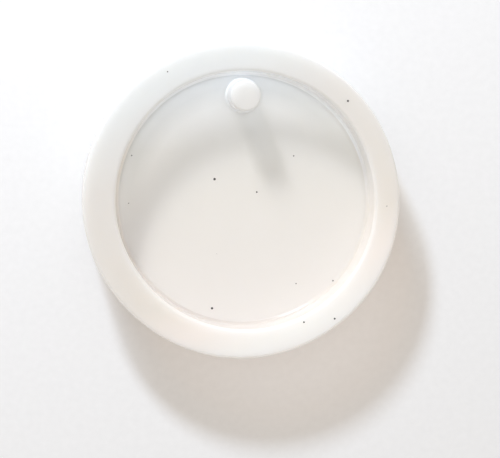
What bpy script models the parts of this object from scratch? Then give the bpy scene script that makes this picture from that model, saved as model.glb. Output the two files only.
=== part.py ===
"""Round silicone mould that casts a disc pendant in resin: an open tray with a peg standing in it.

Resin poured in the tray sets as the disc, and the peg keeps the disc's hanging hole open.
Units are metres and +Z is up. The origin is at the middle of the underside, and the peg is
towards +Y. Run it with: blender --background --python part.py
"""

import math

import bpy
from mathutils import Vector

# The disc that the mould casts.
DISC_DIAMETER = 0.040
DISC_DEPTH = 0.0072  # from the tray's floor to its rim
HOLE_DIAMETER = 0.0047  # the disc's hole on its front, where the peg is slimmest
HOLE_EDGE_LAND = 0.0015  # resin between the hole and the disc's edge

# The silicone round it.
WALL_THICKNESS = 0.0045  # the mean of the thick side and the thin side
FLOOR_THICKNESS = 0.0013
CAVITY_OFF_CENTRE = 0.00065  # the cavity stands this far along X from the tray's middle
CAVITY_DRAFT = math.radians(0.8)  # lean of the cavity's wall, so that the disc slides out
PEG_DRAFT = math.radians(1.2)  # lean of the peg's side

# Rounded edges, each by its radius.
RIM_OUTER_ROUND = 0.0004
RIM_INNER_ROUND = 0.00055
BASE_ROUND = 0.0005
FLOOR_FILLET = 0.0008
PEG_TOP_ROUND = 0.0003

PEG_FOOT_GAP = 0.0003  # clearance that keeps the peg's solid apart from the tray's
CUTTER_OVERSHOOT = 0.002  # how far the cavity's cutter stands above the rim

TRAY_SEGMENTS = 96
PEG_SEGMENTS = 48
ARC_STEPS = 5  # straight stretches in each rounded edge

DISC_RADIUS = DISC_DIAMETER / 2
BODY_RADIUS = DISC_RADIUS + WALL_THICKNESS
RIM_HEIGHT = FLOOR_THICKNESS + DISC_DEPTH
PEG_RADIUS = HOLE_DIAMETER / 2
PEG_PLACE = Vector((CAVITY_OFF_CENTRE, DISC_RADIUS - HOLE_EDGE_LAND - PEG_RADIUS, 0))

SILICONE_COLOUR = (0.86, 0.87, 0.83, 1)
SILICONE_ROUGHNESS = 0.35


def clear_scene():
    for obj in list(bpy.data.objects):
        bpy.data.objects.remove(obj)


def new_collection(name):
    collection = bpy.data.collections.new(name)
    bpy.context.scene.collection.children.link(collection)
    return collection


def silicone(name):
    """Milky, slightly glossy cured silicone."""
    material = bpy.data.materials.new(name)
    material.use_nodes = True
    shader = material.node_tree.nodes["Principled BSDF"]
    shader.inputs["Base Color"].default_value = SILICONE_COLOUR
    shader.inputs["Roughness"].default_value = SILICONE_ROUGHNESS
    shader.inputs["Metallic"].default_value = 0
    return material


def rounded_profile(corners):
    """Points of an outline in the XZ plane. Each corner is (radius from the axis, height, rounding)."""
    points = []
    for index, (across, height, rounding) in enumerate(corners):
        corner = Vector((across, 0, height))
        if rounding == 0:
            points.append(corner)
            continue
        before, after = corners[index - 1], corners[index + 1]
        to_before = (Vector((before[0], 0, before[1])) - corner).normalized()
        to_after = (Vector((after[0], 0, after[1])) - corner).normalized()
        half_angle = to_before.angle(to_after) / 2
        inward = (to_before + to_after).normalized()
        centre = corner + inward * (rounding / math.sin(half_angle))
        start = corner + to_before * (rounding / math.tan(half_angle)) - centre
        end = corner + to_after * (rounding / math.tan(half_angle)) - centre
        for step in range(ARC_STEPS + 1):
            spoke = start.normalized().slerp(end.normalized(), step / ARC_STEPS)
            points.append(centre + spoke * rounding)
    return points


def turned(name, profile, segments, collection):
    """A solid turned about Z from a profile that starts on the axis at the top and ends on it below."""
    mesh = bpy.data.meshes.new(name)
    edges = [(index, index + 1) for index in range(len(profile) - 1)]
    mesh.from_pydata(profile, edges, [])
    obj = bpy.data.objects.new(name, mesh)
    collection.objects.link(obj)
    screw = obj.modifiers.new("turn", "SCREW")
    screw.axis = "Z"
    screw.steps = segments
    screw.render_steps = segments
    screw.use_merge_vertices = True
    screw.merge_threshold = 0.00001
    screw.use_smooth_shade = True
    return obj


def cavity_cutter(collection):
    """The space that the resin fills: a drafted disc with a filleted floor and a flared mouth."""
    floor_radius = DISC_RADIUS - DISC_DEPTH * math.tan(CAVITY_DRAFT)
    lining = rounded_profile(
        [
            (BODY_RADIUS, RIM_HEIGHT, 0),
            (DISC_RADIUS, RIM_HEIGHT, RIM_INNER_ROUND),
            (floor_radius, FLOOR_THICKNESS, FLOOR_FILLET),
            (0, FLOOR_THICKNESS, 0),
        ]
    )
    mouth_to_floor = lining[1:]  # the first corner only leads the mouth's rounding off the rim
    top = RIM_HEIGHT + CUTTER_OVERSHOOT
    profile = [Vector((0, 0, top)), Vector((mouth_to_floor[0].x, 0, top))] + mouth_to_floor
    cutter = turned("cavity_cutter", profile, TRAY_SEGMENTS, collection)
    cutter.location.x = CAVITY_OFF_CENTRE
    cutter.hide_render = True
    cutter.display_type = "WIRE"
    return cutter


def tray(collection, cutters):
    """The mould's body: a round puck with the cavity sunk in it, a little off centre."""
    puck = rounded_profile(
        [
            (0, RIM_HEIGHT, 0),
            (BODY_RADIUS, RIM_HEIGHT, RIM_OUTER_ROUND),
            (BODY_RADIUS, 0, BASE_ROUND),
            (0, 0, 0),
        ]
    )
    obj = turned("mould_tray", puck, TRAY_SEGMENTS, collection)
    obj.data.materials.append(silicone("tray_silicone"))
    sink = obj.modifiers.new("cavity", "BOOLEAN")
    sink.operation = "DIFFERENCE"
    sink.object = cavity_cutter(cutters)


def peg(collection):
    """The core that leaves the disc's hanging hole, as tall as the rim and slimmer towards its top."""
    foot_height = FLOOR_THICKNESS + PEG_FOOT_GAP
    foot_radius = PEG_RADIUS + (RIM_HEIGHT - foot_height) * math.tan(PEG_DRAFT)
    profile = rounded_profile(
        [
            (0, RIM_HEIGHT, 0),
            (PEG_RADIUS, RIM_HEIGHT, PEG_TOP_ROUND),
            (foot_radius, foot_height, 0),
            (0, foot_height, 0),
        ]
    )
    obj = turned("hole_peg", profile, PEG_SEGMENTS, collection)
    obj.data.materials.append(silicone("peg_silicone"))
    obj.location = PEG_PLACE


def build():
    clear_scene()
    mould = new_collection("resin_casting_mould")
    cutters = new_collection("cutters")
    cutters.hide_render = True
    tray(mould, cutters)
    peg(mould)


build()
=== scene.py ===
"""A round silicone mould for a disc pendant, lying on a sheet of white paper.

Resin is poured into the open tray and left to set. The peg keeps the disc's hanging hole open.
Lengths are in metres. The places of the rim, the floor and the peg come from the frame.
"""

import math

import bpy
import numpy as np
from mathutils import Matrix, Vector


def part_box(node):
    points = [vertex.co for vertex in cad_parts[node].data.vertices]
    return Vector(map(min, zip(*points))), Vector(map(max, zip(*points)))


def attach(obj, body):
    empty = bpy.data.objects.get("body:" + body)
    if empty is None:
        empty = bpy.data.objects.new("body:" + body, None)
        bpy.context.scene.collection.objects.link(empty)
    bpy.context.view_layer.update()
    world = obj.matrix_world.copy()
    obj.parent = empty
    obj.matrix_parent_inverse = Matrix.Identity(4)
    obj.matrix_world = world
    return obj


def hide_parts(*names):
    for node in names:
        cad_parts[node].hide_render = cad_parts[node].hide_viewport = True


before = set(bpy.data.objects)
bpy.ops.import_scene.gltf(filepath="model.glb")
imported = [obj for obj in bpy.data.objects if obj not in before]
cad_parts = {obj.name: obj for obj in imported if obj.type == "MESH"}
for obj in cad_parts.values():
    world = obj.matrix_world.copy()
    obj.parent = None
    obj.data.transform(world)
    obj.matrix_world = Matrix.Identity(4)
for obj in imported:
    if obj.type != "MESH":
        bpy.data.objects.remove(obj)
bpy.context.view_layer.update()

# ---------------------------------------------------------------------------------------------
# The silicone mould.
# One casting of milky, translucent silicone, presumably poured round a master disc and its pin
# in a round tub and peeled off when cured. The peg, the floor and the wall are one skin.
# ---------------------------------------------------------------------------------------------
tray_low, tray_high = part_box("mould_tray")
peg_low, peg_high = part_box("hole_peg")

SIDES = 256  # points round each ring of the skin
ARC_STEPS = 8  # rings in each rounded edge

cavity_radius = 0.020
cavity_off_centre = 0.00065
cavity_middle = (tray_low.x + tray_high.x) / 2 + cavity_off_centre
floor_height = 0.0013
cavity_lean = math.tan(math.radians(0.8))
peg_middle = (peg_low.x + peg_high.x) / 2, (peg_low.y + peg_high.y) / 2
peg_foot_radius = (peg_high.x - peg_low.x) / 2
peg_top_radius = 0.00235
rim_height = tray_high.z
body_radius = (tray_high.x - tray_low.x) / 2
cavity_foot_radius = cavity_radius - (rim_height - floor_height) * cavity_lean


def rounded_outline(corners):
    """Rings of a turned skin, each (middle x, middle y, radius, height), with rounded corners."""
    rings = []
    for index, (x, y, radius, height, rounding) in enumerate(corners):
        if rounding == 0:
            rings.append((x, y, radius, height))
            continue
        here = Vector((radius, height))
        to_before = (Vector(corners[index - 1][2:4]) - here).normalized()
        to_after = (Vector(corners[index + 1][2:4]) - here).normalized()
        half = to_before.angle(to_after) / 2
        centre = here + (to_before + to_after).normalized() * (rounding / math.sin(half))
        start = here + to_before * (rounding / math.tan(half)) - centre
        end = here + to_after * (rounding / math.tan(half)) - centre
        swing = start.angle_signed(end)
        for step in range(ARC_STEPS + 1):
            spoke = start.copy()
            spoke.rotate(Matrix.Rotation(-swing * step / ARC_STEPS, 2))
            rings.append((x, y, *(centre + spoke)))
    return rings


def spread(first, last, steps):
    """Rings between two rings, so that the skin crosses a flat in narrow strips."""
    first, last = np.array(first), np.array(last)
    return [tuple(first + (last - first) * step / steps) for step in range(1, steps)]


peg_rings = rounded_outline(
    [
        (*peg_middle, 0, peg_high.z, 0),
        (*peg_middle, peg_top_radius, peg_high.z, 0.0003),
        (*peg_middle, peg_foot_radius, floor_height, 0.0005),
        (*peg_middle, peg_foot_radius + 0.001, floor_height, 0),
    ]
)[1:-1]
lining_rings = rounded_outline(
    [
        (cavity_middle, 0, cavity_radius - 0.002, floor_height, 0),
        (cavity_middle, 0, cavity_foot_radius, floor_height, 0.0008),
        (cavity_middle, 0, cavity_radius, rim_height, 0.00055),
        (cavity_middle, 0, cavity_radius + 0.002, rim_height, 0),
    ]
)[1:-1]
outer_rings = rounded_outline(
    [
        (0, 0, body_radius - 0.002, rim_height, 0),
        (0, 0, body_radius, rim_height, 0.0004),
        (0, 0, body_radius, 0, 0.0005),
        (0, 0, body_radius - 0.002, 0, 0),
    ]
)[1:-1]
rings = [(*peg_middle, peg_top_radius * share, peg_high.z) for share in (0.3, 0.6)]
rings += peg_rings
rings += spread(peg_rings[-1], lining_rings[0], 28)
rings += lining_rings
rings += spread(lining_rings[-1], outer_rings[0], 8)
rings += outer_rings
rings += [(0, 0, body_radius * share, 0) for share in (0.8, 0.6, 0.4, 0.2)]


def skin(name, rings):
    """A closed mesh through the rings, with a point to close each end. It is a few hundredths
    of a millimetre out of round, a guess at what hand casting leaves."""
    turn = np.linspace(0, 2 * math.pi, SIDES, endpoint=False)
    sway = 0.00005 * np.cos(2 * turn + 0.6) + 0.00004 * np.cos(5 * turn + 2.0)
    points = [np.array([[rings[0][0], rings[0][1], rings[0][3]]])]
    for x, y, radius, height in rings:
        reach = radius + sway * radius / body_radius
        across, along = x + reach * np.cos(turn), y + reach * np.sin(turn)
        points.append(np.column_stack((across, along, np.full(SIDES, height))))
    points.append(np.array([[rings[-1][0], rings[-1][1], rings[-1][3]]]))
    points = np.concatenate(points)
    faces = []
    for side in range(SIDES):
        after = (side + 1) % SIDES
        faces.append((0, 1 + side, 1 + after))
        for ring in range(len(rings) - 1):
            top, below = 1 + ring * SIDES, 1 + (ring + 1) * SIDES
            faces.append((top + side, below + side, below + after, top + after))
        last = 1 + (len(rings) - 1) * SIDES
        faces.append((last + side, len(points) - 1, last + after))
    mesh = bpy.data.meshes.new(name)
    mesh.from_pydata(points.tolist(), [], faces)
    mesh.shade_smooth()
    obj = bpy.data.objects.new(name, mesh)
    bpy.context.scene.collection.objects.link(obj)
    return obj


mould = skin("silicone_mould", rings)

# A nib on the far edge of the peg's top. A nick in the master's pin may have left it.
nib_reach = 0.0005
nib_bulge = 0.0002
nib_drop = 0.0002  # below the peg's top
nib_place = Vector((peg_middle[0], peg_middle[1] + peg_top_radius, peg_high.z - nib_drop))
for vertex in mould.data.vertices:
    off = (vertex.co - nib_place).length
    if off < nib_reach:
        vertex.co.y += nib_bulge * (1 - off / nib_reach)

on_outer_wall = [
    float(math.hypot(*vertex.co[:2]) > body_radius - 0.0003) for vertex in mould.data.vertices
]
on_peg = [
    float(math.dist(vertex.co[:2], peg_middle) < peg_foot_radius + 0.0001)
    for vertex in mould.data.vertices
]
for attribute_name, values in ("outer_wall", on_outer_wall), ("peg", on_peg):
    attribute = mould.data.attributes.new(attribute_name, "FLOAT", "POINT")
    attribute.data.foreach_set("value", values)


def milky_silicone():
    """Cured silicone: milky, a little uneven, with a soft gloss and a few specks of dust on it.
    Light and shade are painted into its colour by place.
    """
    material = bpy.data.materials.new("milky_silicone")
    material.use_nodes = True
    tree = material.node_tree
    nodes, links = tree.nodes, tree.links
    shader = nodes["Principled BSDF"]
    output = nodes["Material Output"]
    shader.inputs["IOR"].default_value = 1.41
    shader.inputs["Subsurface Weight"].default_value = 1.0
    shader.inputs["Subsurface Radius"].default_value = (1.0, 0.98, 0.94)
    shader.inputs["Subsurface Scale"].default_value = 0.0027
    shader.inputs["Transmission Weight"].default_value = 0.12
    place = nodes.new("ShaderNodeTexCoord")

    def noise(scale, detail):
        texture = nodes.new("ShaderNodeTexNoise")
        texture.inputs["Scale"].default_value = scale
        texture.inputs["Detail"].default_value = detail
        links.new(place.outputs["Object"], texture.inputs["Vector"])
        return texture.outputs["Fac"]

    def share_of(way, low, high, operation="DOT_PRODUCT"):
        """How far the surface is along a way, from 0 at the low distance to 1 at the high one.
        With DISTANCE it is how far from a place."""
        along = nodes.new("ShaderNodeVectorMath")
        along.operation = operation
        along.inputs[1].default_value = way
        links.new(place.outputs["Object"], along.inputs[0])
        share = nodes.new("ShaderNodeMapRange")
        share.inputs["From Min"].default_value = low
        share.inputs["From Max"].default_value = high
        links.new(along.outputs["Value"], share.inputs["Value"])
        return share.outputs["Result"]

    def ramp(factor, *stops):
        """A colour ramp with a stop for each (position, colour)."""
        band = nodes.new("ShaderNodeValToRGB")
        while len(band.color_ramp.elements) < len(stops):
            band.color_ramp.elements.new(0.5)
        for element, (position, colour) in zip(band.color_ramp.elements, stops):
            element.position = position
            element.color = (*colour, 1)
        links.new(factor, band.inputs["Fac"])
        return band.outputs["Color"]

    def blend(kind, factor, first, second):
        """Two colours blended. The factor and the second colour may each be a value or a socket."""
        mix = nodes.new("ShaderNodeMix")
        mix.data_type = "RGBA"
        mix.blend_type = kind
        for socket, value in ("Factor", factor), ("A", first), ("B", second):
            if isinstance(value, bpy.types.NodeSocket):
                links.new(value, mix.inputs[socket])
            else:
                mix.inputs[socket].default_value = value
        return mix.outputs["Result"]

    def sum_up(operation, first, second):
        """Two numbers put together by one operation of Math, kept from 0 to 1."""
        node = nodes.new("ShaderNodeMath")
        node.operation = operation
        node.use_clamp = True
        for socket, value in zip(node.inputs, (first, second)):
            if isinstance(value, bpy.types.NodeSocket):
                links.new(value, socket)
            else:
                socket.default_value = value
        return node.outputs["Value"]

    # The tints by place below aren't pigment but painted light and shade, fitted for this lamp
    # and camera. They stand in for light that travels inside the silicone. Under other light, use
    # one even milk. Here the body is painted a shade greyer on the peg's side, where the lamp is,
    # and the near part of the rim is painted palest.
    milk_and_painted_light = ramp(
        share_of((0, -1, 0), -body_radius, body_radius),
        (0.1, (0.83, 0.83, 0.825)),
        (0.35, (0.80, 0.775, 0.73)),
        (0.5, (0.83, 0.795, 0.745)),
        (0.9, (0.88, 0.83, 0.785)),
    )
    clouds = ramp(noise(70, 4), (0.3, (0.985, 0.985, 0.985)), (0.7, (1.0, 1.0, 1.0)))
    milk_and_painted_light = blend("MULTIPLY", 1.0, milk_and_painted_light, clouds)
    # Painted shade: on the lamp's side, the floor is darkened close to the foot of the wall, where
    # the wall's shadow falls.
    floor_middle = (cavity_middle, 0, floor_height)
    painted_foot_shade = share_of(floor_middle, cavity_radius - 0.0050, cavity_radius - 0.0025, "DISTANCE")
    painted_foot_shade = sum_up("MULTIPLY", painted_foot_shade, share_of((-0.35, 0.94, 0), 0, 0.6 * cavity_radius))
    at_floor = share_of((0, 0, 1), floor_height + 0.0002, floor_height + 0.00005)
    painted_foot_shade = sum_up("MULTIPLY", painted_foot_shade, at_floor)
    painted_foot_shade = sum_up("MULTIPLY", painted_foot_shade, share_of((0, 0, 1), floor_height / 2, floor_height))
    milk_and_painted_light = blend("MULTIPLY", painted_foot_shade, milk_and_painted_light, (0.865, 0.875, 0.88, 1))
    # Painted light and shade on the rim: grey on the lamp's side and palest towards the near right,
    # as if light that came through the ring glowed there.
    rim_milk_and_painted_light = ramp(
        share_of((0.4, -0.9, 0), -body_radius, body_radius),
        (0.1, (0.80, 0.81, 0.80)),
        (0.3, (0.795, 0.77, 0.735)),
        (0.7, (0.84, 0.80, 0.745)),
        (0.95, (1.0, 0.92, 0.89)),
    )
    on_rim = share_of((0, 0, 1), rim_height - 0.0006, rim_height)
    milk_and_painted_light = blend("MIX", on_rim, milk_and_painted_light, rim_milk_and_painted_light)
    # Painted light and shade on the cavity's wall: paler on the peg's side, where the wall faces
    # away from the lamp, and deeper on the near side, where the lamp falls on it. The test for it
    # takes every face that doesn't look up, so the underside has this tint too.
    geometry = nodes.new("ShaderNodeNewGeometry")
    looks = nodes.new("ShaderNodeSeparateXYZ")
    links.new(geometry.outputs["Normal"], looks.inputs["Vector"])
    wall_milk_and_painted_light = ramp(
        share_of((-0.2, -0.98, 0), -body_radius, body_radius),
        (0.25, (0.91, 0.91, 0.905)),
        (0.45, (0.87, 0.82, 0.76)),
        (0.78, (0.84, 0.785, 0.73)),
        (0.95, (0.75, 0.70, 0.65)),
    )
    outer_wall = nodes.new("ShaderNodeAttribute")
    outer_wall.attribute_name = "outer_wall"
    on_wall = sum_up("SUBTRACT", sum_up("LESS_THAN", looks.outputs["Z"], 0.9), on_rim)
    on_wall = sum_up("SUBTRACT", on_wall, outer_wall.outputs["Fac"])
    milk_and_painted_light = blend("MIX", on_wall, milk_and_painted_light, wall_milk_and_painted_light)
    # Dust: a dot in some of the cells of a net, on the faces that look up.
    dust = nodes.new("ShaderNodeTexVoronoi")
    dust.voronoi_dimensions = "2D"
    dust.inputs["Scale"].default_value = 150
    shift = nodes.new("ShaderNodeVectorMath")
    shift.inputs[1].default_value = (0.15, 0.05, 0)
    links.new(place.outputs["Object"], shift.inputs[0])
    links.new(shift.outputs["Vector"], dust.inputs["Vector"])
    lot = nodes.new("ShaderNodeSeparateColor")
    links.new(dust.outputs["Color"], lot.inputs["Color"])
    size = sum_up("MULTIPLY", lot.outputs["Green"], 0.031)
    dot = sum_up("LESS_THAN", dust.outputs["Distance"], size)
    dot = sum_up("MULTIPLY", dot, sum_up("GREATER_THAN", lot.outputs["Red"], 0.65))
    dot = sum_up("MULTIPLY", dot, sum_up("GREATER_THAN", looks.outputs["Z"], 0.9))
    links.new(blend("MIX", dot, milk_and_painted_light, (0.09, 0.08, 0.08, 1)), shader.inputs["Base Color"])

    gloss = ramp(noise(160, 3), (0.35, (0.20, 0.20, 0.20)), (0.65, (0.26, 0.26, 0.26)))
    links.new(gloss, shader.inputs["Roughness"])
    bump = nodes.new("ShaderNodeBump")
    bump.inputs["Strength"].default_value = 0.5
    bump.inputs["Distance"].default_value = 0.00004
    links.new(noise(450, 3), bump.inputs["Height"])
    links.new(bump.outputs["Normal"], shader.inputs["Normal"])

    # How much of the lamp's light goes through each face: most of it through the upright ones,
    # less on the thick side of the wall, and less through the flat tops.
    pass_on = ramp(
        share_of((1, 0, 0), -body_radius, body_radius),
        (0.1, (0.85, 0.86, 0.87)),
        (0.9, (1.0, 0.99, 0.96)),
    )
    flatness = sum_up("ABSOLUTE", looks.outputs["Z"], 0)
    on_top = sum_up("MULTIPLY", on_rim, sum_up("GREATER_THAN", flatness, 0.9))
    pass_on = blend("MULTIPLY", on_top, pass_on, (0.61, 0.63, 0.66, 1))
    # The thin floor stops next to nothing.
    in_floor = share_of((0, 0, 1), floor_height + 0.00004, floor_height + 0.00002)
    pass_on = blend("MIX", in_floor, pass_on, (0.93, 0.92, 0.90, 1))
    # What leaves by the outer wall is made dark and warm, as if it had crossed the thick of the
    # ring, but for the light that only grazes the ring's flanks.
    aslant = nodes.new("ShaderNodeLayerWeight")
    aslant.inputs["Blend"].default_value = 0.5
    leaving = sum_up("SUBTRACT", outer_wall.outputs["Fac"], geometry.outputs["Backfacing"])
    facing = aslant.outputs["Facing"]
    across_ring = ramp(facing, (0.55, (0.20, 0.08, 0.0)), (0.9, (0.90, 0.85, 0.80)))
    pass_on = blend("MULTIPLY", leaving, pass_on, across_ring)
    peg_share = nodes.new("ShaderNodeAttribute")
    peg_share.attribute_name = "peg"
    # The slim peg stops a little of the light, but none of what grazes its flanks.
    through_peg = ramp(facing, (0.25, (0.81, 0.83, 0.85)), (0.65, (1.0, 1.0, 1.0)))
    pass_on = blend("MULTIPLY", peg_share.outputs["Fac"], pass_on, through_peg)
    lamp_way = nodes.new("ShaderNodeBsdfTransparent")
    links.new(pass_on, lamp_way.inputs["Color"])
    path = nodes.new("ShaderNodeLightPath")
    mix = nodes.new("ShaderNodeMixShader")
    links.new(path.outputs["Is Shadow Ray"], mix.inputs["Fac"])
    links.new(shader.outputs["BSDF"], mix.inputs[1])
    links.new(lamp_way.outputs["BSDF"], mix.inputs[2])
    links.new(mix.outputs["Shader"], output.inputs["Surface"])
    return material


mould.data.materials.append(milky_silicone())
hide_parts("mould_tray", "hole_peg")
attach(mould, "root")

# ---------------------------------------------------------------------------------------------
# The paper that the mould lies on: a plain white sheet, far larger than the view.
# ---------------------------------------------------------------------------------------------
bpy.ops.mesh.primitive_plane_add(size=3, location=(0, 0, -0.00003))
paper = bpy.context.object
paper.name = "paper"
paper_white = bpy.data.materials.new("paper_white")
paper_white.use_nodes = True
paper_shader = paper_white.node_tree.nodes["Principled BSDF"]
paper_tree = paper_white.node_tree
fibres = paper_tree.nodes.new("ShaderNodeTexNoise")
fibres.inputs["Scale"].default_value = 900
fibres.inputs["Detail"].default_value = 6
paper_place = paper_tree.nodes.new("ShaderNodeTexCoord")
paper_tree.links.new(paper_place.outputs["Object"], fibres.inputs["Vector"])
paper_tint = paper_tree.nodes.new("ShaderNodeValToRGB")
paper_tint.color_ramp.elements[0].color = (0.85, 0.85, 0.85, 1)
paper_tint.color_ramp.elements[1].color = (0.91, 0.91, 0.91, 1)
paper_tree.links.new(fibres.outputs["Fac"], paper_tint.inputs["Fac"])
paper_tree.links.new(paper_tint.outputs["Color"], paper_shader.inputs["Base Color"])
paper_shader.inputs["Roughness"].default_value = 0.9
paper.data.materials.append(paper_white)

# ---------------------------------------------------------------------------------------------
# The light: one small soft lamp low on the far side, and pale light from all round.
# ---------------------------------------------------------------------------------------------
scene = bpy.context.scene
scene.view_settings.view_transform = "Standard"
world = bpy.data.worlds.new("pale_room")
world.use_nodes = True
sky_way = world.node_tree.nodes.new("ShaderNodeTexCoord")
sky_parts = world.node_tree.nodes.new("ShaderNodeSeparateXYZ")
sky = world.node_tree.nodes.new("ShaderNodeValToRGB")
sky.color_ramp.elements[0].color = (0.905, 0.86, 0.81, 1)
sky.color_ramp.elements[1].color = (1.0, 0.955, 0.905, 1)
world.node_tree.links.new(sky_way.outputs["Generated"], sky_parts.inputs["Vector"])
world.node_tree.links.new(sky_parts.outputs["Z"], sky.inputs["Fac"])
background = world.node_tree.nodes["Background"]
world.node_tree.links.new(sky.outputs["Color"], background.inputs["Color"])
background.inputs["Strength"].default_value = 0.70
scene.world = world

LAMP_RISE = math.radians(29.5)
LAMP_BEARING = math.radians(111)  # from +X towards +Y
LAMP_REACH = 0.38
lamp_data = bpy.data.lights.new("lamp", "AREA")
lamp_data.shape = "DISK"
lamp_data.size = 0.050
lamp_data.energy = 1.18
lamp_data.color = (0.895, 0.965, 1.075)
lamp = bpy.data.objects.new("lamp", lamp_data)
lamp.location = LAMP_REACH * Vector(
    (
        math.cos(LAMP_RISE) * math.cos(LAMP_BEARING),
        math.cos(LAMP_RISE) * math.sin(LAMP_BEARING),
        math.sin(LAMP_RISE),
    )
)
lamp.rotation_euler = lamp.location.to_track_quat("Z", "Y").to_euler()
scene.collection.objects.link(lamp)

# ---------------------------------------------------------------------------------------------
# The camera: nearly straight above, a little towards the far left.
# ---------------------------------------------------------------------------------------------
CAMERA_REACH = 0.38
aim = Vector((0.00126, -0.00441, rim_height))
lean = Vector((-math.tan(math.radians(4.4)), math.tan(math.radians(3.3)), 1)).normalized()
across = Vector((0, 1, 0)).cross(lean).normalized()
camera_data = bpy.data.cameras.new("camera")
camera_data.sensor_width = 36
camera_data.lens = 36 * CAMERA_REACH / 0.0772
camera = bpy.data.objects.new("camera", camera_data)
camera.matrix_world = Matrix.Translation(aim + lean * CAMERA_REACH) @ Matrix(
    (across, lean.cross(across), lean)
).transposed().to_4x4()
scene.collection.objects.link(camera)
scene.camera = camera
